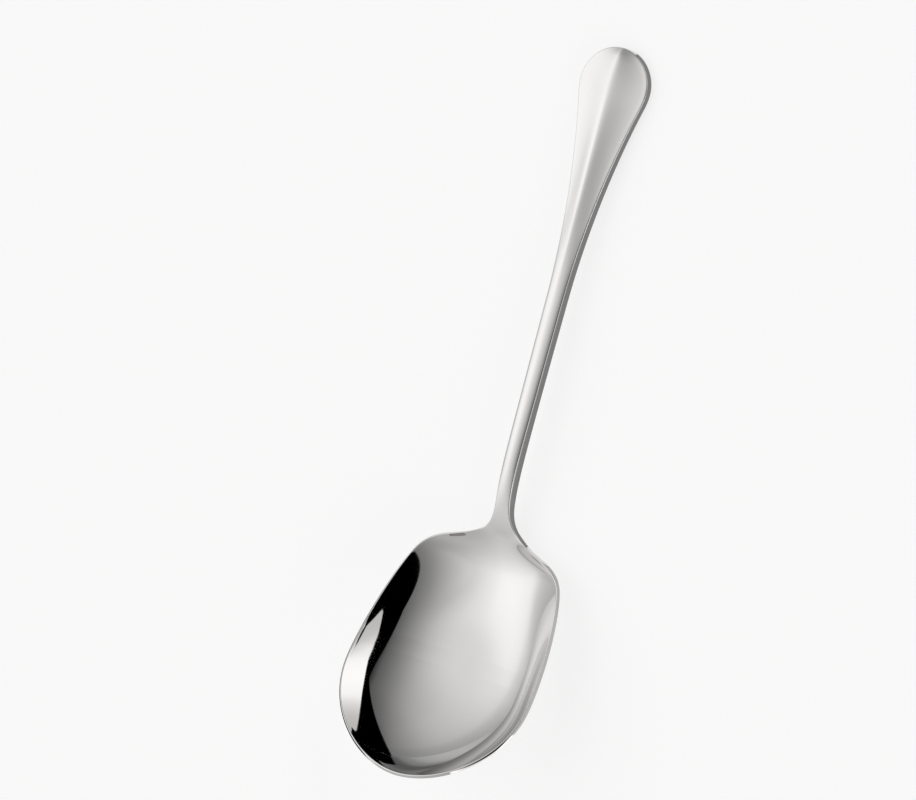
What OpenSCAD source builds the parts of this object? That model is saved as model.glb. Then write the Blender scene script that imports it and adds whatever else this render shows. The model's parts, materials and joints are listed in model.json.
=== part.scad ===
/* [Bowl] */
// Length of the bowl, from the rim at its tip to the low point of the rim at the neck
bowl_len = 84; // [78:0.5:90]
// Width of the bowl between the inner edges of the rim
bowl_w = 72; // [64:0.5:78]
// Depth of the bowl, straight down from the rim
bowl_depth = 11.5; // [9:0.5:14]
// How far from the tip the bowl is widest
tip_len = 31.5; // [28:0.5:36]
// How far from the tip the bowl is deepest
deep_at = 38; // [34:0.5:44]
// Width of the bowl across the shoulders
shoulder_w = 55; // [50:0.5:60]
// How far the shoulders lie from the low point of the rim
shoulder_back = 11; // [9:0.5:13]
// Thickness of the bowl's sheet
sheet_t = 1.3; // [1:0.1:1.8]
// How much the rim rises from neck to tip, in degrees to the handle
rim_tilt = 17; // [12:0.5:20]
// How far the rim sags below a straight line between neck and tip
rim_sag = 1.5; // [0:0.1:2.5]

/* [Neck] */
// Width of the joint between bowl and handle
root_w = 19; // [16:0.5:22]
// How far the bowl's side of the joint lies from the low point of the rim
root_back = 1.6; // [1:0.1:2.5]
// Length of the weld between bowl and handle
weld_len = 0.8; // [0.5:0.1:1.2]
// Width of the neck where it is narrowest
neck_w = 5.6; // [5:0.1:7]
// Thickness of the neck's sides where it is narrowest
neck_t = 3.8; // [3:0.1:4.5]
// Distance from the low point of the rim to the narrowest place
neck_out = 12; // [10:0.5:15]
// How far the low point of the rim lies under the straight shank
neck_drop = 6; // [4:0.5:8]
// Length over which the neck bends into the straight shank
neck_len = 41; // [35:1:50]
// How softly the rim turns up into the neck
neck_turn = 1; // [0.5:0.1:2]

/* [Handle] */
// Length of the spoon, from the inner edge of the rim at the tip to the end of the handle
spoon_len = 249; // [235:1:265]
// Width of the shank where it starts to flare
shank_w = 6.7; // [6:0.1:9]
// Thickness of the shank at its sides
shank_t = 3.4; // [2.8:0.1:4.5]
// Distance from the narrowest place of the neck to the start of the flare
shank_len = 64; // [55:1:72]
// Width of the round end of the handle
paddle_w = 26.4; // [22:0.2:30]
// Thickness of the handle at the edge of its round end
paddle_t = 2.8; // [2.2:0.1:3.6]
// How far the round end dips below the straight shank
paddle_dip = 0.6; // [0:0.1:1.5]
// Height of the crown along the middle of the shank
crown_h = 0.8; // [0.4:0.1:1.2]
// Height of the ridge along the middle of the round end
ridge_h = 2.6; // [1.4:0.1:3]

/* [Rest] */
// How deep the polished flats are that the spoon lies on
flat_depth = 0.3; // [0.2:0.05:0.4]

/* [Hidden] */

// How the hollow of the bowl curves: across it and towards its tip, across its heel, and towards
// the neck
wall_power = 3.2;
heel_wall_power = 2;
heel_power = 3.4;

// Directions of the outline at the shoulder and at the joint, in degrees to the length
shoulder_turn = 38;
root_turn = 59;

// Lengths of the outline's tangents, as shares of the span that each one bends
tip_pull_shares = [0.45, 0.57];
side_pull_shares = [0.35, 0.16];
heel_pull_shares = [0.32, 0.36];
neck_pull_shares = [0.36, 0.48];

// Softness of the ridge, as a share of the handle's half width, and how hollow its flanks are
ridge_soft_share = 0.13;
ridge_power = 1.4;

// Half of the small end that closes each outline, as a turn of the round end in degrees
// and as a share of the outline's first span
end_turn = 6;
tip_first_share = 0.02;

// Facets across the spoon and along each span of the outline
across = 24;
tip_steps = 16;
side_steps = 13;
heel_steps = 8;
neck_steps = 8;
shank_steps = 14;
flare_steps = 14;
end_steps = 13;

// Places on the outline: distance from the tip, half width
shoulder = [bowl_len - shoulder_back, shoulder_w / 2];
root = [bowl_len - root_back, root_w / 2];
weld_end = root + weld_len * [1, -tan(root_turn)];
neck = [bowl_len + neck_out, neck_w / 2];
flare = [neck.x + shank_len, shank_w / 2];
paddle_r = paddle_w / 2;
paddle_y = spoon_len - paddle_r;

// Radius of the hollow flank between the shank and the round end, which it touches without a corner
flank_r = (pow(paddle_y - flare.x, 2) + flare.y * flare.y - paddle_r * paddle_r) / (2 * (paddle_r - flare.y));
flank_end = paddle_y - (paddle_y - flare.x) * paddle_r / (flank_r + paddle_r);
end_angle = acos((flank_end - paddle_y) / paddle_r);

function smooth(t) = let (c = max(0, min(1, t))) c * c * (3 - 2 * c);
function mix(a, b, t) = a * (1 - t) + b * t;
function unit(v) = v / norm(v);

function bezier(a, b, c, d, t) =
    pow(1 - t, 3) * a + 3 * pow(1 - t, 2) * t * b + 3 * (1 - t) * t * t * c + pow(t, 3) * d;

// A span of the outline from a to b that leaves and arrives at the given turns
function span(a, turn_a, b, turn_b, pulls, steps, first = 1) =
    let (pa = pulls[0] * norm(b - a), pb = pulls[1] * norm(b - a))
    [for (i = [first:steps])
        bezier(a, a + pa * [cos(turn_a), -sin(turn_a)], b - pb * [cos(turn_b), -sin(turn_b)], b, i / steps)];

function tip_span() =
    let (b = [tip_len, bowl_w / 2])
    let (side = [0, b.y * tip_pull_shares[0]], top = [b.x * (1 - tip_pull_shares[1]), b.y])
    [for (i = [0:tip_steps]) bezier([0, 0], side, top, b, max(i / tip_steps, tip_first_share))];

function shank_span() = [for (i = [1:shank_steps]) mix(neck, flare, i / shank_steps)];

function flank_span() =
    [for (i = [1:flare_steps])
        let (y = mix(flare.x, flank_end, i / flare_steps))
        [y, flare.y + flank_r - sqrt(flank_r * flank_r - pow(y - flare.x, 2))]];

function end_span() =
    [for (i = [1:end_steps])
        let (turn = mix(end_angle, end_turn, i / end_steps))
        [paddle_y + paddle_r * cos(turn), paddle_r * sin(turn)]];

// The outline of the face, from the tip of the bowl to the end of the handle
bowl_rows = concat(
    tip_span(),
    span([tip_len, bowl_w / 2], 0, shoulder, shoulder_turn, side_pull_shares, side_steps),
    span(shoulder, shoulder_turn, root, root_turn, heel_pull_shares, heel_steps)
);
handle_rows = concat(
    span(weld_end, root_turn, neck, 0, neck_pull_shares, neck_steps, 0),
    shank_span(),
    flank_span(),
    end_span()
);
rows = concat(bowl_rows, handle_rows);
root_row = len(bowl_rows) - 1;
weld_row = len(bowl_rows);
last_row = len(rows) - 1;

// Height of the rim, of the bowl's floor under it, and of the neck that rises from it
function rim_z(y) =
    let (x = (bowl_len - y) / bowl_len)
    tan(rim_tilt) * (bowl_len - y) - neck_drop - rim_sag * 4 * x * (1 - x);

function floor_drop(y) =
    y < deep_at
        ? bowl_depth * (1 - pow((deep_at - y) / deep_at, wall_power))
        : bowl_depth * (1 - pow((y - deep_at) / (bowl_len - deep_at), heel_power));

// The heel of the hollow runs on into the neck at one slope
heel_slope = heel_power * bowl_depth / (bowl_len - deep_at) - tan(rim_tilt) + 4 * rim_sag / bowl_len;
neck_power = heel_slope * neck_len / neck_drop;

function neck_z(y) =
    let (t = (y - bowl_len) / neck_len)
    t < 1 ? -neck_drop * pow(1 - t, neck_power) : 0;

// How far the handle has changed from its shank to its round end
function flared(y) = smooth((y - flare.x) / (paddle_y - flare.x));

function dip_z(y) = -paddle_dip * flared(y);

function edge_z(y) =
    let (a = rim_z(y), b = neck_z(y))
    (a + b + sqrt(pow(a - b, 2) + neck_turn * neck_turn)) / 2 + dip_z(y);

function middle_z(y) = dip_z(y) + (y < bowl_len ? rim_z(y) - floor_drop(y) : neck_z(y));

// Height of the face's middle over its edges: a round crown on the shank and a ridge on the end
function rise(row) =
    mix(crown_h, ridge_h, flared(row.x))
    * smooth((row.x - bowl_len) / (2 * neck_out))
    * (row.x > paddle_y ? row.y / paddle_r : 1);

function crown_shape(u) = 1 - u * u;

function ridge_shape(u) =
    let (soft = ridge_soft_share, top = sqrt(1 + soft * soft))
    pow(max((top - sqrt(u * u + soft * soft)) / (top - soft), 0), ridge_power);

// The walls are steepest beside the deepest place, and ease towards the shoulders
function wall(y) = mix(wall_power, heel_wall_power, smooth((y - deep_at) / (shoulder.x - deep_at)));

// A point of the face, where u runs from -1 at the left edge to 1 at the right
function face_point(row, u) =
    let (
        power = wall(row.x),
        dish = max(edge_z(row.x) - middle_z(row.x), 0),
        v = pow(max(1 - dish / bowl_depth, 0), 2 / power),
        hollow = bowl_depth * (1 - pow(v + (1 - v) * u * u, power / 2))
    )
    let (shape = mix(crown_shape(u), ridge_shape(u), flared(row.x)))
    [row.y * u, row.x, edge_z(row.x) - hollow + rise(row) * shape];

// Thickness of the metal: thin sheet in the bowl, thick at the neck, thinner to the end
function gauge(y) =
    sheet_t
    + (neck_t - sheet_t) * smooth((y - shoulder.x) / (neck.x - shoulder.x))
    + (shank_t - neck_t) * smooth((y - neck.x) / neck_len)
    + (paddle_t - shank_t) * flared(y);

columns = [for (j = [0:across]) sin(180 * j / across - 90)];
face = [for (row = rows) [for (u = columns) face_point(row, u)]];

function face_normal(i, j) =
    unit(cross(
        face[i][min(j + 1, across)] - face[i][max(j - 1, 0)],
        face[min(i + 1, last_row)][j] - face[max(i - 1, 0)][j]
    ));

// A point of the back: square to the sheet in the bowl, straight below in the joint, and flat
// under the handle
function back_point(i, j) =
    let (
        p = face[i][j],
        n = face_normal(max(i, 1), j),
        lengthwise = 1 - smooth((p.y - shoulder.x) / (root.x - shoulder.x)),
        flat = smooth((p.y - root.x) / (neck.x - root.x)),
        under = p - gauge(p.y) * unit([n.x, n.y * lengthwise, n.z]),
        straight = [p.x, p.y, edge_z(p.y) - gauge(p.y)]
    )
    mix(under, straight, flat);

back = [for (i = [0:last_row]) [for (j = [0:across]) back_point(i, j)]];

// The spoon lies on the belly of the bowl and on the end of its handle
end_point = back[last_row][across / 2];
belly = [for (i = [0:root_row]) back[i][across / 2]];
leans = [for (p = belly) atan((end_point.z - p.z) / (end_point.y - p.y))];
lean = max(leans);
belly_point = [for (i = [0:root_row]) if (leans[i] == lean) belly[i]][0];

module laid() {
    translate([0, 0, -flat_depth])
        rotate([-lean, 0, 0])
            translate(-belly_point)
                children();
}

// Everything below the table
module below() {
    reach = spoon_len;
    translate([-reach, -reach, -reach]) cube([2 * reach, 3 * reach, reach]);
}

// The solid between two rows of the outline
module length_of(first, last) {
    ring = 2 * (across + 1);
    points = [for (i = [first:last]) each concat(face[i], [for (j = [across:-1:0]) back[i][j]])];
    walls = [for (i = [0:last - first - 1], k = [0:ring - 1])
        let (a = i * ring + k, b = i * ring + (k + 1) % ring)
        each [[a, a + ring, b], [b, a + ring, b + ring]]];
    near = [for (j = [0:across - 1])
        each [[j, j + 1, ring - 1 - j], [j + 1, ring - 2 - j, ring - 1 - j]]];
    far = [for (f = near) [for (k = [2:-1:0]) f[k] + (last - first) * ring]];
    polyhedron(points, concat(near, walls, far), convexity = 6);
}

// The bowl is pressed from sheet, with a tongue at its heel that thickens to the joint
module bowl() {
    color("lightgray")
        difference() {
            laid() length_of(0, root_row);
            below();
        }
}

// The weld that joins bowl and handle, ground and polished flush with both
module neck_weld() {
    color("darkgray")
        laid() length_of(root_row, weld_row);
}

// The handle is forged from bar: a flared root, a thick shank and a ridged round end
module handle() {
    color("silver")
        difference() {
            laid() length_of(weld_row, last_row);
            below();
        }
}

bowl();
neck_weld();
handle();
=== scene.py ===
import json
import math

import bmesh
import bpy
from mathutils import Matrix, Vector, kdtree

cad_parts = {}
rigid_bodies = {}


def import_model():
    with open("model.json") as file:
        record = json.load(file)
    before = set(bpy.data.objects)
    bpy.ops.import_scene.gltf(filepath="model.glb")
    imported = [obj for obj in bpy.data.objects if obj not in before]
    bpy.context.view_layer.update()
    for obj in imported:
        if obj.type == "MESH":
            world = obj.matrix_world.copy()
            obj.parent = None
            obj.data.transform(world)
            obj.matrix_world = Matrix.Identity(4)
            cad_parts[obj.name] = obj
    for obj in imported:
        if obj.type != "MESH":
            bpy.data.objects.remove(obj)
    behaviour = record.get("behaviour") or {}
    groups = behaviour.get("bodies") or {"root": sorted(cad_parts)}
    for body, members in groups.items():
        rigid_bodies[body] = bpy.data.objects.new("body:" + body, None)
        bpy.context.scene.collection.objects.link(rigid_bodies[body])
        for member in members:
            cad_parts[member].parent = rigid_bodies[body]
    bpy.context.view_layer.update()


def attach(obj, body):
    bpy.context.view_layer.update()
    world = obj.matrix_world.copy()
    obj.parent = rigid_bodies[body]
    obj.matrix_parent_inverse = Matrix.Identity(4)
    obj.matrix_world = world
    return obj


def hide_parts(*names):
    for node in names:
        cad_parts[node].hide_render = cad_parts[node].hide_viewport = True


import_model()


# The bowl's hollow
# The bowl is pressed from stainless sheet: a flat blank is drawn down into one wide, smooth hollow,
# deepest 38 mm from the tip, under a rim that rises from the neck to the tip.
# The face is modelled in millimetres with the shank level: x across, y from the tip, z upwards.
BOWL_LEN = 84.0
BOWL_DEPTH = 11.5
DEEPEST_AT = 38.0
RIM_SLOPE = math.tan(math.radians(17))
RIM_SAG = 1.5
NECK_DROP, NECK_LEN, NECK_TURN = 6.0, 41.0, 1.0
WALL_POWER, HEEL_WALL_POWER, HEEL_POWER = 3.2, 2.0, 3.4
SHOULDER_AT = 73.0

# The drawn outline, right half: each span's start, the two points that bend it, and its end
TIP_SPAN = ((0, 0), (16.2, 0), (36, 13.545), (36, 31.5))
SIDE_SPAN = ((36, 31.5), (36, 46.33), (31.67, 67.66), (27.5, 73))
HEEL_SPAN = ((27.5, 73), (23.5, 78.12), (15.77, 78.635), (9.5, 82.4))
TIP_POINTS, SIDE_POINTS, HEEL_POINTS = 13, 11, 8
HALVINGS = 40
# Where the points of the heel and handle lie across them, and the hollow's rings, as shares
COLUMNS = (-1, -0.66, -0.36, -0.13, 0, 0.13, 0.36, 0.66, 1)
RINGS = (0.965, 0.92, 0.86, 0.785, 0.695, 0.595, 0.49, 0.385, 0.285)
GRID_START, EVEN_OUT, EVEN_TIMES = 5, 0.5, 30


def ease(t):
    t = max(0.0, min(1.0, t))
    return t * t * (3 - 2 * t)


def on_span(span, t):
    bends = ((1 - t) ** 3, 3 * t * (1 - t) ** 2, 3 * t * t * (1 - t), t ** 3)
    return tuple(sum(b * p[k] for b, p in zip(bends, span)) for k in (0, 1))


def half_on_span(span, y):
    low, high = 0.0, 1.0
    for _ in range(HALVINGS):
        middle = (low + high) / 2
        low, high = (middle, high) if on_span(span, middle)[1] < y else (low, middle)
    return on_span(span, low)[0]


def rim_height(y):
    t = (BOWL_LEN - y) / BOWL_LEN
    return RIM_SLOPE * (BOWL_LEN - y) - NECK_DROP - RIM_SAG * 4 * t * (1 - t)


def floor_drop(y):
    if y < DEEPEST_AT:
        return BOWL_DEPTH * (1 - ((DEEPEST_AT - y) / DEEPEST_AT) ** WALL_POWER)
    return BOWL_DEPTH * (1 - ((y - DEEPEST_AT) / (BOWL_LEN - DEEPEST_AT)) ** HEEL_POWER)


# The rim starts as a plain ring, whose points are then set on the outline
half_rim = [on_span(TIP_SPAN, i / TIP_POINTS) for i in range(TIP_POINTS)]
half_rim += [on_span(SIDE_SPAN, i / SIDE_POINTS) for i in range(SIDE_POINTS)]
half_rim += [on_span(HEEL_SPAN, i / HEEL_POINTS) for i in range(HEEL_POINTS)]
root = HEEL_SPAN[-1]
heel = [(u * root[0], root[1]) for u in COLUMNS if u >= 0]
right_side = half_rim + heel[::-1]
outline = [(-x, y) for x, y in right_side[::-1]] + right_side[1:-1]

bpy.ops.object.select_all(action="DESELECT")
bpy.ops.mesh.primitive_circle_add(vertices=len(outline), radius=BOWL_LEN / 2, location=(0, 0, 0))
spoon = bpy.context.active_object
spoon.name = "spoon_face"
for vertex, (x, y) in zip(spoon.data.vertices, outline):
    vertex.co = (x, y, 0)

bpy.ops.object.mode_set(mode="EDIT")
bpy.ops.mesh.select_mode(type="VERT")
bpy.ops.mesh.select_all(action="SELECT")
size = 1.0
for ring in RINGS:
    bpy.ops.mesh.extrude_edges_move()
    bpy.ops.transform.resize(value=(ring / size, ring / size, 1), center_override=(0, DEEPEST_AT, 0))
    size = ring
bpy.ops.mesh.fill_grid(span=len(outline) // 4, offset=GRID_START)
bpy.ops.mesh.select_less()
bpy.ops.mesh.vertices_smooth(factor=EVEN_OUT, repeat=EVEN_TIMES)


# The neck and handle
# The handle is forged from bar: a flared root that meets the bowl, a thick straight shank, and a
# flat that widens to a round end, with a soft ridge down the middle of its face.
# Its face grows out of the bowl's heel row by row, because the joint is polished away.
WELD_LEN, WELD_HALF = 0.8, 8.1686
NECK_SPAN = ((WELD_HALF, 83.2), (3.885, 85.774), (2.8, 89.337), (2.8, 96))
FLARE_AT, FLARE_HALF = 160.0, 3.35
END_AT, END_R = 235.8, 13.2
END_REACH, END_DIP = 13.1, 0.6
# The hollow flank between the shank and the round end, which it touches without a corner
FLANK_LEN = END_AT - FLARE_AT
FLANK_R = (FLANK_LEN ** 2 + FLARE_HALF ** 2 - END_R ** 2) / (2 * (END_R - FLARE_HALF))
FLANK_END = END_AT - FLANK_LEN * END_R / (FLANK_R + END_R)
CROWN_H, CROWN_RUN = 0.8, 24.0
RIDGE_H, RIDGE_SOFT, RIDGE_POWER = 2.6, 0.13, 1.4
ROWS = (83.2, 84.3, 86.0, 88.6, 92.0, 96.0, 101.0, 107.0, 114.0, 121.0, 128.0, 136.0, 144.0,
        152.0, 160.0, 167.0, 174.0, 181.0, 188.0, 195.0, 201.5, 208.0, 214.0, 219.5, 224.5, 229.0)
LAST_ROWS = ((233.2, 0.5), (237.0, 1.3), (240.4, 2.5))
END_TURN = math.radians(52)
SMOOTH_LEVELS = 2
NEAR = 0.001


def half_width(y):
    for span in (TIP_SPAN, SIDE_SPAN, HEEL_SPAN):
        if y < span[-1][1]:
            return half_on_span(span, max(y, 0.0))
    if y < NECK_SPAN[0][1]:
        return root[0] + (WELD_HALF - root[0]) * (y - root[1]) / WELD_LEN
    if y < NECK_SPAN[-1][1]:
        return half_on_span(NECK_SPAN, y)
    if y < FLARE_AT:
        neck = NECK_SPAN[-1]
        return neck[0] + (FLARE_HALF - neck[0]) * (y - neck[1]) / (FLARE_AT - neck[1])
    if y < FLANK_END:
        return FLARE_HALF + FLANK_R - math.sqrt(FLANK_R ** 2 - (y - FLARE_AT) ** 2)
    return math.sqrt(max(END_R ** 2 - (y - END_AT) ** 2, 0.0))


# The heel of the hollow runs on into the neck at one slope, and the neck bends into the shank
heel_slope = HEEL_POWER * BOWL_DEPTH / (BOWL_LEN - DEEPEST_AT) - RIM_SLOPE + 4 * RIM_SAG / BOWL_LEN
neck_power = heel_slope * NECK_LEN / NECK_DROP


def neck_height(y):
    t = (y - BOWL_LEN) / NECK_LEN
    return -NECK_DROP * (1 - t) ** neck_power if t < 1 else 0.0


def flared(y):
    return ease((y - FLARE_AT) / (END_AT - FLARE_AT))


def end_dip(y):
    return -END_DIP * flared(y)


def edge_height(y):
    rim, neck = rim_height(y), neck_height(y)
    return (rim + neck + math.hypot(rim - neck, NECK_TURN)) / 2 + end_dip(y)


def middle_height(y):
    return end_dip(y) + (rim_height(y) - floor_drop(y) if y < BOWL_LEN else neck_height(y))


def crown_height(y, u):
    # A round crown on the shank, which passes into the ridge of the round end
    top = math.hypot(1, RIDGE_SOFT)
    crown = CROWN_H * (1 - u * u)
    ridge = RIDGE_H * ((top - math.hypot(u, RIDGE_SOFT)) / (top - RIDGE_SOFT)) ** RIDGE_POWER
    height = crown + (ridge - crown) * flared(y)
    return height * ease((y - BOWL_LEN) / CROWN_RUN) * (half_width(y) / END_R if y > END_AT else 1)


def face_height(x, y):
    # The walls are steepest beside the deepest place, and ease towards the shoulders
    eased = ease((y - DEEPEST_AT) / (SHOULDER_AT - DEEPEST_AT))
    power = WALL_POWER + (HEEL_WALL_POWER - WALL_POWER) * eased
    u = min(abs(x) / max(half_width(y), NEAR), 1.0)
    dish = max(edge_height(y) - middle_height(y), 0.0)
    v = max(1 - dish / BOWL_DEPTH, 0.0) ** (2 / power)
    hollow = BOWL_DEPTH * (1 - (v + (1 - v) * u * u) ** (power / 2))
    return edge_height(y) - hollow + crown_height(y, u)


def add_row(places):
    # Draws the open end of the face out by one row, and sets the row on the given places
    bpy.ops.mesh.extrude_edges_move()
    sheet = bmesh.from_edit_mesh(spoon.data)
    row = sorted((v for v in sheet.verts if v.select), key=lambda v: v.co.x)
    for vertex, (x, y) in zip(row, places):
        vertex.co.x, vertex.co.y = x, y
    bmesh.update_edit_mesh(spoon.data)


bpy.ops.mesh.select_all(action="DESELECT")
sheet = bmesh.from_edit_mesh(spoon.data)
for vertex in sheet.verts:
    vertex.select = vertex.co.y > root[1] - NEAR
sheet.select_flush(True)
bmesh.update_edit_mesh(spoon.data)
for y, bulge in tuple((y, 0.0) for y in ROWS) + LAST_ROWS:
    add_row([(u * half_width(y), y + bulge * (1 - u * u)) for u in COLUMNS])
turns = [END_TURN * u for u in COLUMNS]
add_row([(END_R * math.sin(a), END_AT + END_REACH * math.cos(a)) for a in turns])

bpy.ops.mesh.select_all(action="SELECT")
bpy.ops.mesh.normals_make_consistent(inside=False)

# The smoothing takes a sixth of each bend off the outline, so its points first go out by as much
sheet = bmesh.from_edit_mesh(spoon.data)
bends = []
for vertex in sheet.verts:
    if vertex.is_boundary:
        before, after = (e.other_vert(vertex).co for e in vertex.link_edges if e.is_boundary)
        bends.append((vertex, (before - 2 * vertex.co + after) / 6))
for vertex, bend in bends:
    vertex.co -= bend
bmesh.update_edit_mesh(spoon.data)
bpy.ops.object.mode_set(mode="OBJECT")
smooth = spoon.modifiers.new("ground smooth", "SUBSURF")
smooth.levels = smooth.render_levels = SMOOTH_LEVELS
smooth.boundary_smooth = "ALL"
bpy.ops.object.modifier_apply(modifier=smooth.name)

# The points next to the outline are drawn in from it, which leaves room for the rounded arris
ARRIS_ROOM, ROOM_REACH = 0.62, 2.0
sheet = bmesh.new()
sheet.from_mesh(spoon.data)
edge_points = [vertex for vertex in sheet.verts if vertex.is_boundary]
border = kdtree.KDTree(len(edge_points))
for i, vertex in enumerate(edge_points):
    border.insert(vertex.co, i)
border.balance()
for vertex in sheet.verts:
    nearest, _, gap = border.find(vertex.co)
    if NEAR < gap < ROOM_REACH:
        drawn_in = ARRIS_ROOM + gap * (1 - ARRIS_ROOM / ROOM_REACH)
        vertex.co = nearest + (vertex.co - nearest) * drawn_in / gap
sheet.to_mesh(spoon.data)
sheet.free()
for vertex in spoon.data.vertices:
    vertex.co.z = face_height(vertex.co.x, vertex.co.y)
if sum(face.normal.z for face in spoon.data.polygons) < 0:
    spoon.data.flip_normals()


# The thickness of the metal
# The sheet is 1.3 mm thick in the bowl. It thickens over the shoulders to the forged bar of the
# handle, which is 3.8 mm thick at the neck, 3.4 mm along the shank and 2.8 mm at its end.
# The rim is cut square to the sheet, and the underside of the handle is flat.
SHEET_T, NECK_T, SHANK_T, END_T = 1.3, 3.8, 3.4, 2.8
NECK_AT = 96.0


def gauge(y):
    return (
        SHEET_T
        + (NECK_T - SHEET_T) * ease((y - SHOULDER_AT) / (NECK_AT - SHOULDER_AT))
        + (SHANK_T - NECK_T) * ease((y - NECK_AT) / NECK_LEN)
        + (END_T - SHANK_T) * flared(y)
    )


thick = spoon.vertex_groups.new(name="thickness")
for vertex in spoon.data.vertices:
    thick.add([vertex.index], gauge(vertex.co.y) / NECK_T, "REPLACE")
wall = spoon.modifiers.new("metal", "SOLIDIFY")
wall.thickness = NECK_T
wall.offset = -1
wall.vertex_group = thick.name
wall.use_even_offset = True
wall.use_quality_normals = True
face_points = [vertex.co.copy() for vertex in spoon.data.vertices]
bpy.ops.object.modifier_apply(modifier=wall.name)

# The back is square to the sheet in the bowl, straight below the face in the joint, and flat
# under the handle
for vertex, over in zip(spoon.data.vertices[len(face_points):], face_points):
    lengthwise = 1 - ease((over.y - SHOULDER_AT) / (root[1] - SHOULDER_AT))
    level = ease((over.y - root[1]) / (NECK_AT - root[1]))
    down = vertex.co - over
    down = Vector((down.x, down.y * lengthwise, down.z)).normalized() * gauge(over.y)
    straight = Vector((over.x, over.y, edge_height(over.y) - gauge(over.y)))
    vertex.co = (over + down).lerp(straight, level)


# Arrises and rest flats
# Polishing rounds the arrises of the face, and only breaks those of the back. Use leaves two small
# flats, on the belly of the bowl and under the end of the handle.
RIM_ROUND, HANDLE_ROUND, BACK_ROUND = 0.34, 0.42, 0.25
ARRIS_ANGLE, GLOSS_ANGLE, ARRIS_STEPS = math.radians(50), math.radians(45), 4
# How far the shank leans as the spoon lies, and the point of its belly that touches the table
LEAN, BELLY = math.radians(2.765617), Vector((0, 67.0433, -12.1746))
FLAT_DEPTH = 0.3
MM, TIGHT = 0.001, 0.000001

bpy.ops.object.mode_set(mode="EDIT")
bpy.ops.mesh.select_mode(type="EDGE")
bpy.ops.mesh.select_all(action="DESELECT")
bpy.ops.mesh.edges_select_sharp(sharpness=ARRIS_ANGLE)
sheet = bmesh.from_edit_mesh(spoon.data)
rounding = sheet.edges.layers.float.new("bevel_weight_edge")
for edge in sheet.edges:
    if edge.select:
        y = (edge.verts[0].co.y + edge.verts[1].co.y) / 2
        share = ease((y - SHOULDER_AT) / (NECK_AT - SHOULDER_AT))
        on_face = (edge.verts[0].co.z + edge.verts[1].co.z) / 2 > edge_height(y) - gauge(y) / 2
        radius = RIM_ROUND + (HANDLE_ROUND - RIM_ROUND) * share if on_face else BACK_ROUND
        edge[rounding] = radius / HANDLE_ROUND
bmesh.update_edit_mesh(spoon.data)
bpy.ops.object.mode_set(mode="OBJECT")
arrises = spoon.modifiers.new("polished arrises", "BEVEL")
arrises.limit_method = "WEIGHT"
arrises.width = HANDLE_ROUND
arrises.segments = ARRIS_STEPS
bpy.ops.object.modifier_apply(modifier=arrises.name)

# Laid on the table, on the belly of the bowl and the end of the handle, and brought to metres
spoon.location = -BELLY
bpy.ops.object.transform_apply(location=True, rotation=False, scale=False)
spoon.rotation_euler.x = -LEAN
bpy.ops.object.transform_apply(location=False, rotation=True, scale=False)
spoon.scale = (MM, MM, MM)
spoon.location.z = -FLAT_DEPTH * MM
bpy.ops.object.transform_apply(location=True, rotation=False, scale=True)

# The two small flats that it rests on, with a clean edge round each
bpy.ops.object.mode_set(mode="EDIT")
bpy.ops.mesh.select_all(action="SELECT")
bpy.ops.mesh.bisect(
    plane_co=(0, 0, 0), plane_no=(0, 0, 1), use_fill=True, clear_inner=True, threshold=TIGHT
)
bpy.ops.mesh.region_to_loop()
bpy.ops.mesh.mark_sharp()

# The two planes of the joint, marked on the face and back
joint_turn = Matrix.Rotation(-LEAN, 4, "X")
joint_way = joint_turn @ Vector((0, 1, 0))


def joint_place(y):
    return (joint_turn @ (Vector((0, y, 0)) - BELLY) - Vector((0, 0, FLAT_DEPTH))) * MM


for y in (root[1], root[1] + WELD_LEN):
    bpy.ops.mesh.select_all(action="SELECT")
    bpy.ops.mesh.bisect(plane_co=joint_place(y), plane_no=joint_way, threshold=TIGHT)
bpy.ops.object.mode_set(mode="OBJECT")
bpy.ops.object.shade_smooth_by_angle(angle=GLOSS_ANGLE)
even = spoon.modifiers.new("even gloss", "WEIGHTED_NORMAL")
even.keep_sharp = True
bpy.ops.object.modifier_apply(modifier=even.name)


# Bowl, weld and handle
# The spoon is made of three pieces that are ground flush with each other: the pressed bowl with its
# thick heel, a thin slice of weld metal, and the forged handle.
# Each is cut from the smoothed whole at the planes of the joint, and keeps the gloss of the whole.
BEYOND_TIP, BEYOND_END = -20.0, 300.0
ON_JOINT = 0.0001
spoon.name = "whole_spoon"


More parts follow.
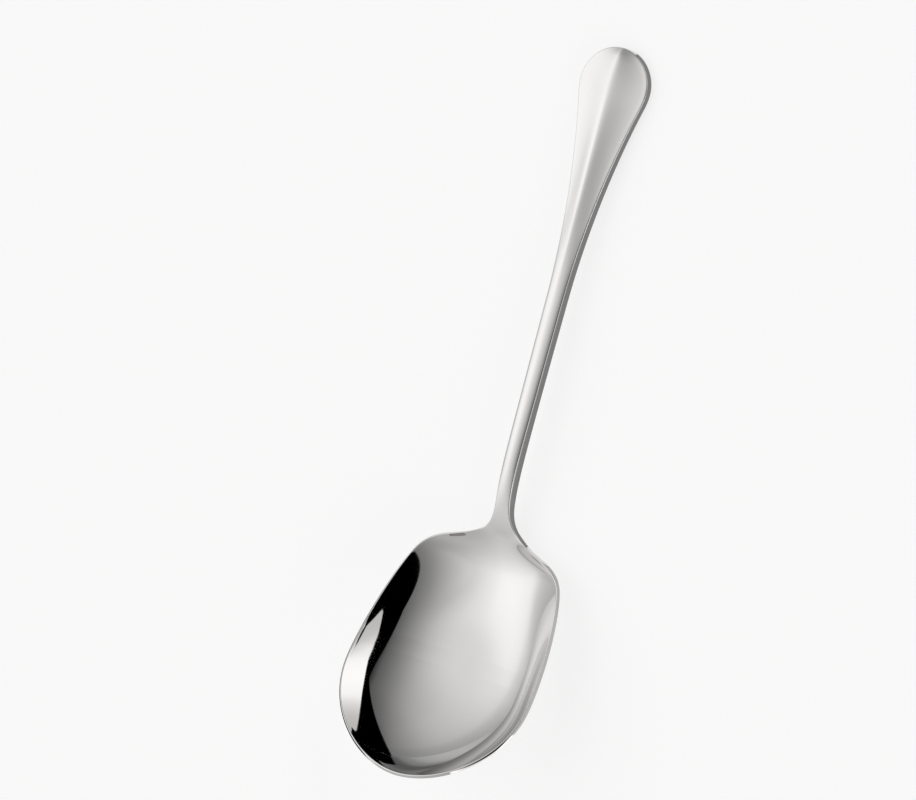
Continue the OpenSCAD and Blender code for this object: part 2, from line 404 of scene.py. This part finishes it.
def cut_piece(name, node, first, last):
    # The part of the spoon between two places along it, closed with flat faces
    bpy.ops.object.select_all(action="DESELECT")
    piece = spoon.copy()
    piece.data = spoon.data.copy()
    piece.name = piece.data.name = name
    bpy.context.collection.objects.link(piece)
    bpy.context.view_layer.objects.active = piece
    piece.select_set(True)
    bpy.ops.object.mode_set(mode="EDIT")
    bpy.ops.mesh.select_mode(type="FACE")
    bpy.ops.mesh.select_all(action="DESELECT")
    metal = bmesh.from_edit_mesh(piece.data)
    for face in metal.faces:
        middle = face.calc_center_median()
        past_first = (middle - joint_place(first)).dot(joint_way) > 0
        past_last = (middle - joint_place(last)).dot(joint_way) >= 0
        face.select = past_last or not past_first
    bmesh.update_edit_mesh(piece.data)
    bpy.ops.mesh.delete(type="FACE")
    bpy.ops.object.mode_set(mode="OBJECT")
    gloss = piece.modifiers.new("gloss of the whole", "DATA_TRANSFER")
    gloss.object = spoon
    gloss.use_loop_data = True
    gloss.data_types_loops = {"CUSTOM_NORMAL"}
    gloss.loop_mapping = "NEAREST_POLYNOR"
    bpy.ops.object.modifier_apply(modifier=gloss.name)
    bpy.ops.object.mode_set(mode="EDIT")
    bpy.ops.mesh.select_mode(type="EDGE")
    for plane in (first, last):
        bpy.ops.mesh.select_all(action="DESELECT")
        metal = bmesh.from_edit_mesh(piece.data)
        for edge in metal.edges:
            middle = (edge.verts[0].co + edge.verts[1].co) / 2
            if edge.is_boundary and abs((middle - joint_place(plane)).dot(joint_way)) < ON_JOINT:
                edge.select = True
        bmesh.update_edit_mesh(piece.data)
        if any(edge.select for edge in bmesh.from_edit_mesh(piece.data).edges):
            bpy.ops.mesh.mark_sharp()
            bpy.ops.mesh.edge_face_add()
    bpy.ops.object.mode_set(mode="OBJECT")
    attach(piece, "root")
    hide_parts(node)
    return piece


bowl = cut_piece("pressed_bowl", "bowl", BEYOND_TIP, root[1])
weld = cut_piece("ground_weld", "neck_weld", root[1], root[1] + WELD_LEN)
handle = cut_piece("forged_handle", "handle", root[1] + WELD_LEN, BEYOND_END)
bpy.data.objects.remove(spoon)

# Bare steel, and the marks on it: hairlines, waves and wiped patches, which are duller
STEEL, TINT_CHANGE = (0.72, 0.713, 0.707), 0.015
MARK_LEN, MARK_GAP, MARK_DETAIL = 0.03, 0.00035, 4.0
WAVE, WAVE_DETAIL, LINE_HEIGHT, RELIEF = 0.009, 1.0, 0.02, 0.000004
BOWL_DULLNESS, HANDLE_DULLNESS, WIPED_DULLER = 0.025, 0.11, 2.4
WIPED_SCALE, WIPED_DETAIL, WIPED_TWIST = 38.0, 3.0, 0.8
WIPED_FROM, WIPED_FULL = 0.3, 0.75


def add_node(tree, kind, **inputs):
    node = tree.nodes.new(kind)
    for name, value in inputs.items():
        set_input(tree, node.inputs[name.replace("_", " ")], value)
    return node


def set_input(tree, socket, value):
    if isinstance(value, bpy.types.NodeSocket):
        tree.links.new(value, socket)
    else:
        socket.default_value = value


def calculate(tree, operation, *values):
    node = tree.nodes.new("ShaderNodeMath")
    node.operation = operation
    for socket, value in zip(node.inputs, values):
        set_input(tree, socket, value)
    return node.outputs["Value"]


def shift_range(tree, value, low, high, to_low, to_high, kind="SMOOTHSTEP"):
    node = add_node(tree, "ShaderNodeMapRange", Value=value)
    node.interpolation_type = kind
    for name, limit in (("From Min", low), ("From Max", high), ("To Min", to_low), ("To Max", to_high)):
        set_input(tree, node.inputs[name], limit)
    return node.outputs["Result"]


# What the polishing wheel leaves: hairlines along its way, a soft waviness, and faint wiped patches
polish = bpy.data.node_groups.new("wheel polish", "ShaderNodeTree")
for name, kind, way in (
    ("Place", "NodeSocketVector", "INPUT"),
    ("Hairline Spacing", "NodeSocketVector", "INPUT"),
    ("Waviness", "NodeSocketFloat", "INPUT"),
    ("Dullness", "NodeSocketFloat", "INPUT"),
    ("Colour", "NodeSocketColor", "OUTPUT"),
    ("Roughness", "NodeSocketFloat", "OUTPUT"),
    ("Height", "NodeSocketFloat", "OUTPUT"),
):
    polish.interface.new_socket(name, in_out=way, socket_type=kind)
given = polish.nodes.new("NodeGroupInput").outputs
put_out = polish.nodes.new("NodeGroupOutput").inputs
stretched = add_node(polish, "ShaderNodeVectorMath")
stretched.operation = "DIVIDE"
polish.links.new(given["Place"], stretched.inputs[0])
polish.links.new(given["Hairline Spacing"], stretched.inputs[1])
lines = add_node(
    polish, "ShaderNodeTexNoise", Vector=stretched.outputs[0], Scale=1.0, Detail=MARK_DETAIL
)
wave_scale = calculate(polish, "DIVIDE", 1.0, given["Waviness"])
waves = add_node(
    polish, "ShaderNodeTexNoise", Vector=given["Place"], Scale=wave_scale, Detail=WAVE_DETAIL
)
wiped = add_node(
    polish, "ShaderNodeTexNoise", Vector=given["Place"], Scale=WIPED_SCALE, Detail=WIPED_DETAIL,
    Distortion=WIPED_TWIST,
)
tint = add_node(polish, "ShaderNodeMix")
tint.data_type = "RGBA"
set_input(polish, tint.inputs["Factor"], lines.outputs["Fac"])
for socket, change in ((tint.inputs[6], -TINT_CHANGE), (tint.inputs[7], TINT_CHANGE)):
    set_input(polish, socket, tuple(shade * (1 + change) for shade in STEEL) + (1,))
polish.links.new(tint.outputs[2], put_out["Colour"])
duller = calculate(polish, "MULTIPLY", given["Dullness"], WIPED_DULLER)
roughness = shift_range(
    polish, wiped.outputs["Fac"], WIPED_FROM, WIPED_FULL, given["Dullness"], duller
)
polish.links.new(roughness, put_out["Roughness"])
height = calculate(polish, "MULTIPLY_ADD", lines.outputs["Fac"], LINE_HEIGHT, waves.outputs["Fac"])
polish.links.new(height, put_out["Height"])


def polished_steel(name, spacing, dullness):
    steel = bpy.data.materials.new(name)
    steel.use_nodes = True
    tree = steel.node_tree
    surface = tree.nodes["Principled BSDF"]
    place = add_node(tree, "ShaderNodeTexCoord").outputs["Object"]
    marks = tree.nodes.new("ShaderNodeGroup")
    marks.node_tree = polish
    set_input(tree, marks.inputs["Place"], place)
    set_input(tree, marks.inputs["Hairline Spacing"], spacing)
    set_input(tree, marks.inputs["Waviness"], WAVE)
    set_input(tree, marks.inputs["Dullness"], dullness)
    bump = add_node(
        tree, "ShaderNodeBump", Strength=1.0, Distance=RELIEF, Height=marks.outputs["Height"]
    )
    surface.inputs["Metallic"].default_value = 1.0
    tree.links.new(marks.outputs["Colour"], surface.inputs["Base Color"])
    tree.links.new(marks.outputs["Roughness"], surface.inputs["Roughness"])
    tree.links.new(bump.outputs["Normal"], surface.inputs["Normal"])
    return steel


across_it = polished_steel("polished steel, bowl", (MARK_LEN, MARK_GAP, MARK_GAP), BOWL_DULLNESS)
along_it = polished_steel("polished steel, handle", (MARK_GAP, MARK_LEN, MARK_GAP), HANDLE_DULLNESS)
for piece, steel in ((bowl, across_it), (weld, along_it), (handle, along_it)):
    piece.data.materials.clear()
    piece.data.materials.append(steel)


# Studio light
# A white tent stands over the table, brightest above the left side. At the right it has a dark opening
# with a white card in it, and a second card stands beyond the bowl's tip. Polished steel has no other
# look than what it mirrors of these.

# The tent's brightness by the turn around the spoon's length: degrees from overhead, left below 0
AROUND = (
    (-125, 0.07), (-105, 0.31), (-90, 0.54), (-75, 0.83), (-60, 1.18), (-45, 1.24), (-30, 1.07),
    (-15, 0.79), (0, 0.46), (15, 0.2), (30, 0.0),
)
# How much of that there is along the spoon: degrees from the way that the handle points
ALONG = (
    (5, 0.0), (15, 0.06), (22, 0.16), (30, 0.26), (40, 0.39), (52, 0.52), (65, 0.71), (80, 0.9),
    (95, 0.89), (108, 0.71), (120, 0.47), (135, 0.26), (150, 0.12), (180, 0.08),
)
# What is added to it, also by the degrees along, and where around the spoon this fades out
BASE = (
    (5, 0.08), (22, 0.09), (40, 0.125), (65, 0.12), (80, 0.14), (95, 0.18), (108, 0.24), (120, 0.32),
    (135, 0.43), (143, 0.48), (150, 0.49), (180, 0.45),
)
BASE_FADES, BASE_GONE = 26, 40
# Towards the handle all of this is turned to the left: by how much, and the degrees along at which
# it still is and no longer is
HANDLE_TURN, TURN_FULL, TURN_GONE = 7, 40, 75
# A dimmer place low on the left and a brighter one overhead: the way to it, how near to that way
# (as a cosine) the change starts and is full, and the change
DIM_PLACE = ((-0.975, -0.174, 0.137), 0.95, 1.0, -0.22)
BRIGHT_PLACE = ((0.035, -0.087, 0.9956), 0.955, 1.0, 0.12)

# The opening lies beyond its long edge, and beyond a second edge by the handle. The long edge flares
# out as it nears the opening's end, which is straight out to the side.
OPENING_SIDE, SIDE_EDGE = (0.8746, 0, -0.4848), -0.005
OPENING_FAR, FAR_CORNER = (0.646, 0.2871, -0.709), 0.03
FLARE_SLOPE, FLARE_START = 0.567, 0.18
OPENING_END, END_CORNER = -0.02, 0.12
OPENING_SOFT = 0.005
# The card in it: how its long edge and its end run over the opening, how high it starts, how far it
# stays from the plain grey, and its brightness by the degrees along
CARD_SIDE, CARD_END, CARD_CORNER = (0.4157, 0.366), (0.4363, 0.034), 0.05
CARD_FOOT, FOOT_CORNER = 0.0635, 0.04
CARD_OUTSIDE, CARD_SOFT = -0.047, 0.004
CARD = (
    (0, 0.64), (11, 0.71), (17, 0.84), (23, 1.05), (30, 1.28), (57, 1.3), (63, 1.2), (68, 0.98),
    (74, 0.72), (80, 0.68),
)
# Low at the right, below the opening, the tent is a plain grey
OUTER_SIDE, OUTER_SOFT, OUTER_GREY = (0.515, -0.06, -0.857), 0.01, 0.62
# The card beyond the tip: how its top runs, how far beyond and to the right it starts
END_CARD_TOP, END_CARD_FROM, END_CARD_SIDE = (-0.17, 0.43), 0.14, 0.22
END_CARD_SOFT, END_CARD = (-0.01, 0.02), 1.0
TENT_WHITE = (1.0, 0.997, 0.993, 1)


def curve(tree, value, points):
    # A smooth curve through the points
    node = tree.nodes.new("ShaderNodeFloatCurve")
    low, high = points[0][0], points[-1][0]
    top = max(height for _, height in points)
    line = node.mapping.curves[0]
    while len(line.points) < len(points):
        line.points.new(0.5, 0.5)
    for point, (at, height) in zip(line.points, points):
        point.location = ((at - low) / (high - low), height / top)
    node.mapping.update()
    set_input(tree, node.inputs["Value"], shift_range(tree, value, low, high, 0.0, 1.0, "LINEAR"))
    return calculate(tree, "MULTIPLY", node.outputs["Value"], top)


def facing(tree, way, side):
    # How squarely a way faces a side, as a cosine
    node = add_node(tree, "ShaderNodeVectorMath")
    node.operation = "DOT_PRODUCT"
    set_input(tree, node.inputs[0], way)
    set_input(tree, node.inputs[1], side)
    return node.outputs["Value"]


world = bpy.data.worlds.new("studio tent")
bpy.context.scene.world = world
world.use_nodes = True
tent = world.node_tree
way = add_node(tent, "ShaderNodeTexCoord").outputs["Generated"]
parts = add_node(tent, "ShaderNodeSeparateXYZ", Vector=way).outputs
rightwards, lengthways, upwards = parts["X"], parts["Y"], parts["Z"]
around = calculate(tent, "DEGREES", calculate(tent, "ARCTAN2", rightwards, upwards))
along = calculate(tent, "DEGREES", calculate(tent, "ARCCOSINE", lengthways))
turned = shift_range(tent, along, TURN_FULL, TURN_GONE, HANDLE_TURN, 0.0)
around = calculate(tent, "ADD", around, turned)
base_share = shift_range(tent, around, BASE_FADES, BASE_GONE, 1.0, 0.0)
base = calculate(tent, "MULTIPLY", curve(tent, along, BASE), base_share)
glow = calculate(tent, "MULTIPLY_ADD", curve(tent, around, AROUND), curve(tent, along, ALONG), base)
for place, far, near, gain in (DIM_PLACE, BRIGHT_PLACE):
    change = shift_range(tent, facing(tent, way, place), far, near, 1.0, 1.0 + gain)
    glow = calculate(tent, "MULTIPLY", glow, change)

# The dark opening
depth = facing(tent, way, OPENING_SIDE)
beyond_side = calculate(tent, "SUBTRACT", depth, SIDE_EDGE)
flare = calculate(tent, "MAXIMUM", calculate(tent, "SUBTRACT", FLARE_START, lengthways), 0.0)
opening = calculate(tent, "MULTIPLY_ADD", flare, FLARE_SLOPE, beyond_side)
opening = calculate(tent, "SMOOTH_MAX", opening, facing(tent, way, OPENING_FAR), FAR_CORNER)
before_end = calculate(tent, "SUBTRACT", lengthways, OPENING_END)
opening = calculate(tent, "SMOOTH_MIN", opening, before_end, END_CORNER)
lit = shift_range(tent, opening, -OPENING_SOFT, OPENING_SOFT, 1.0, 0.0)
glow = calculate(tent, "MULTIPLY", glow, lit)

# The white card in it
past_side = calculate(tent, "MULTIPLY_ADD", lengthways, CARD_SIDE[0], depth)
past_side = calculate(tent, "SUBTRACT", past_side, CARD_SIDE[1])
end_line = calculate(tent, "MULTIPLY_ADD", depth, CARD_END[0], CARD_END[1])
past_end = calculate(tent, "SUBTRACT", lengthways, end_line)
on_card = calculate(tent, "SMOOTH_MIN", past_side, past_end, CARD_CORNER)
above_foot = calculate(tent, "SUBTRACT", upwards, CARD_FOOT)
on_card = calculate(tent, "SMOOTH_MIN", on_card, above_foot, FOOT_CORNER)
outwards = facing(tent, way, OUTER_SIDE)
on_card = calculate(tent, "MINIMUM", on_card, calculate(tent, "SUBTRACT", CARD_OUTSIDE, outwards))
on_card = shift_range(tent, on_card, -CARD_SOFT, CARD_SOFT, 0.0, 1.0)
glow = calculate(tent, "MULTIPLY_ADD", on_card, curve(tent, along, CARD), glow)

# The plain grey low at the right
outside = shift_range(tent, outwards, 0.0, OUTER_SOFT, 0.0, 1.0)
outer = calculate(tent, "MULTIPLY", outside, OUTER_GREY)
inside = calculate(tent, "SUBTRACT", 1.0, outside)
glow = calculate(tent, "MAXIMUM", calculate(tent, "MULTIPLY", glow, inside), outer)

# The card beyond the tip
top_line = calculate(tent, "MULTIPLY_ADD", lengthways, END_CARD_TOP[0], END_CARD_TOP[1])
under_top = calculate(tent, "SUBTRACT", top_line, upwards)
beyond_tip = calculate(tent, "SUBTRACT", -END_CARD_FROM, lengthways)
on_end_card = calculate(tent, "MINIMUM", under_top, beyond_tip)
past_left = calculate(tent, "SUBTRACT", rightwards, END_CARD_SIDE)
on_end_card = calculate(tent, "MINIMUM", on_end_card, past_left)
on_end_card = shift_range(tent, on_end_card, END_CARD_SOFT[0], END_CARD_SOFT[1], 0.0, 1.0)
glow = calculate(tent, "MULTIPLY_ADD", on_end_card, END_CARD, glow)
tent.links.new(glow, tent.nodes["Background"].inputs["Strength"])
tent.nodes["Background"].inputs["Color"].default_value = TENT_WHITE


# Floor and cards
# A plain white table, which has some light of its own. Black and grey cards lie around the spoon,
# because its low parts mirror what lies there. A grey strip along the right of the handle is painted
# shadow: it stands for the table in the spoon's shade. Only the steel sees them.
TABLE_SHADE, TABLE_OWN = 0.35, 0.725
TABLE_HALF, TABLE_LIFT = 15.0, -0.00002
LOW_CARD, HIGH_CARD, CARD_FAR = 0.0001, 0.0002, 14.0
# The corners of each card: left and right by the bowl, then left and right by the handle
LEFT_CARD = ((-CARD_FAR, -0.3), (-0.06, -0.3), (-CARD_FAR, CARD_FAR), (-0.125, CARD_FAR))
END_BLACK = ((-0.15, 0.197), (-0.1, 0.22), (-6.08, CARD_FAR), (1.0, CARD_FAR))
RIM_BLACK = ((-0.3, -0.25), (-0.04, -0.25), (-0.3, 0.015), (-0.04, 0.015))
RIGHT_PALE = ((0.015, 0.025), (0.4, -0.1), (0.015, 1.0), (CARD_FAR, 3.0))
# The strip along the right of the handle is painted shadow: a darker sheet where the spoon's shade
# falls on the table, as the steel mirrors it
HANDLE_SHADOW_STRIP = ((0.0045, 0.018), (0.01, 0.018), (0.0045, 0.2), (0.02, 0.2))
PALE_OWN, HANDLE_SHADOW_LEVEL = 0.55, 0.27
# How bright the left card is by its direction as seen from the bowl: sideways over lengthways
FAN_FROM, FAN_LEAST = -0.08, 0.02
FAN = (
    (0, 0.22), (0.2, 0.2), (0.38, 0.12), (0.46, 0.155), (0.52, 0.25), (0.6, 0.31), (0.7, 0.44),
    (0.85, 0.52), (1.0, 0.57), (1.3, 0.58), (2.0, 0.5),
)


def matt(name, shade, own=0.0):
    paint = bpy.data.materials.new(name)
    paint.use_nodes = True
    coat = paint.node_tree.nodes["Principled BSDF"]
    coat.inputs["Base Color"].default_value = (shade, shade, shade, 1)
    coat.inputs["Roughness"].default_value = 1.0
    coat.inputs["Specular IOR Level"].default_value = 0.0
    coat.inputs["Emission Color"].default_value = (1, 1, 1, 1)
    coat.inputs["Emission Strength"].default_value = own
    return paint


def flat_sheet(name, corners, lift, paint):
    bpy.ops.mesh.primitive_plane_add(size=1, location=(0, 0, 0))
    sheet = bpy.context.active_object
    sheet.name = name
    for vertex, (x, y) in zip(sheet.data.vertices, corners):
        vertex.co = (x, y, lift)
    sheet.data.materials.append(paint)
    return sheet


table_top = matt("white table", TABLE_SHADE)
tree = table_top.node_tree
path = add_node(tree, "ShaderNodeLightPath").outputs
seen = calculate(tree, "MAXIMUM", path["Is Camera Ray"], path["Is Glossy Ray"])
seen = calculate(tree, "MAXIMUM", seen, path["Is Transmission Ray"])
table_coat = tree.nodes["Principled BSDF"]
tree.links.new(calculate(tree, "MULTIPLY", seen, TABLE_OWN), table_coat.inputs["Emission Strength"])
table_corners = [(x * TABLE_HALF, y * TABLE_HALF) for x, y in ((-1, -1), (1, -1), (-1, 1), (1, 1))]
flat_sheet("table", table_corners, TABLE_LIFT, table_top)

fan_grey = matt("grey card, left", 0.0)
tree = fan_grey.node_tree
place = add_node(tree, "ShaderNodeTexCoord").outputs["Object"]
place = add_node(tree, "ShaderNodeSeparateXYZ", Vector=place).outputs
sideways = calculate(tree, "SUBTRACT", FAN_FROM, place["X"])
fan = calculate(tree, "DIVIDE", sideways, calculate(tree, "MAXIMUM", place["Y"], FAN_LEAST))
tree.links.new(curve(tree, fan, FAN), tree.nodes["Principled BSDF"].inputs["Emission Strength"])
black = matt("black card", 0.0)
# The dim glow of the strip beside the handle is painted shadow of the spoon on the table
painted_handle_shadow, pale_grey = matt("painted shadow beside the handle", 0.0, HANDLE_SHADOW_LEVEL), matt("pale card, right", 0.0, PALE_OWN)
for name, corners, lift, paint in (
    ("grey card, left", LEFT_CARD, LOW_CARD, fan_grey),
    ("black card", END_BLACK, HIGH_CARD, black),
    ("black card by the rim", RIM_BLACK, HIGH_CARD, black),
    ("pale card, right", RIGHT_PALE, LOW_CARD, pale_grey),
    # painted shadow of the spoon on the table, beside the handle
    ("painted shadow beside the handle", HANDLE_SHADOW_STRIP, HIGH_CARD, painted_handle_shadow),
):
    card = flat_sheet(name, corners, lift, paint)
    card.visible_camera = card.visible_diffuse = card.visible_shadow = False


# Camera
# It looks down at the face from the spoon's right, nearly square to the shank. In the picture the
# handle points up and a little to the right.
VIEW_RIGHT, VIEW_ALONG, PICTURE_TURN = math.radians(32), math.radians(3.5), math.radians(15.11)
PICTURE_WIDTH, PIXELS_PER_M = 916, 3035
# The picture's middle, in pixels to the left of and above a place along the spoon
AIM_AT, AIM_LEFT, AIM_ABOVE = 97.5, 44.38, 91.02
DISTANCE, SENSOR, CLIP_END = 4.0, 36.0, 20.0

to_camera = joint_turn @ Vector((
    math.sin(VIEW_RIGHT) * math.cos(VIEW_ALONG),
    math.sin(VIEW_ALONG),
    math.cos(VIEW_RIGHT) * math.cos(VIEW_ALONG),
))
spoon_up = joint_way - to_camera * joint_way.dot(to_camera)
spoon_up.normalize()
spoon_right = spoon_up.cross(to_camera)
picture_up = math.cos(PICTURE_TURN) * spoon_up - math.sin(PICTURE_TURN) * spoon_right
picture_right = math.sin(PICTURE_TURN) * spoon_up + math.cos(PICTURE_TURN) * spoon_right
aim = joint_place(AIM_AT) + (AIM_ABOVE * picture_up - AIM_LEFT * picture_right) / PIXELS_PER_M
camera_data = bpy.data.cameras.new("camera")
camera_data.sensor_width = SENSOR
camera_data.lens = SENSOR * DISTANCE * PIXELS_PER_M / PICTURE_WIDTH
camera_data.clip_end = CLIP_END
camera = bpy.data.objects.new("camera", camera_data)
bpy.context.collection.objects.link(camera)
camera.matrix_world = Matrix.Translation(aim + to_camera * DISTANCE) @ Matrix((
    picture_right, picture_up, to_camera
)).transposed().to_4x4()
bpy.context.scene.camera = camera
bpy.context.scene.view_settings.view_transform = "Standard"
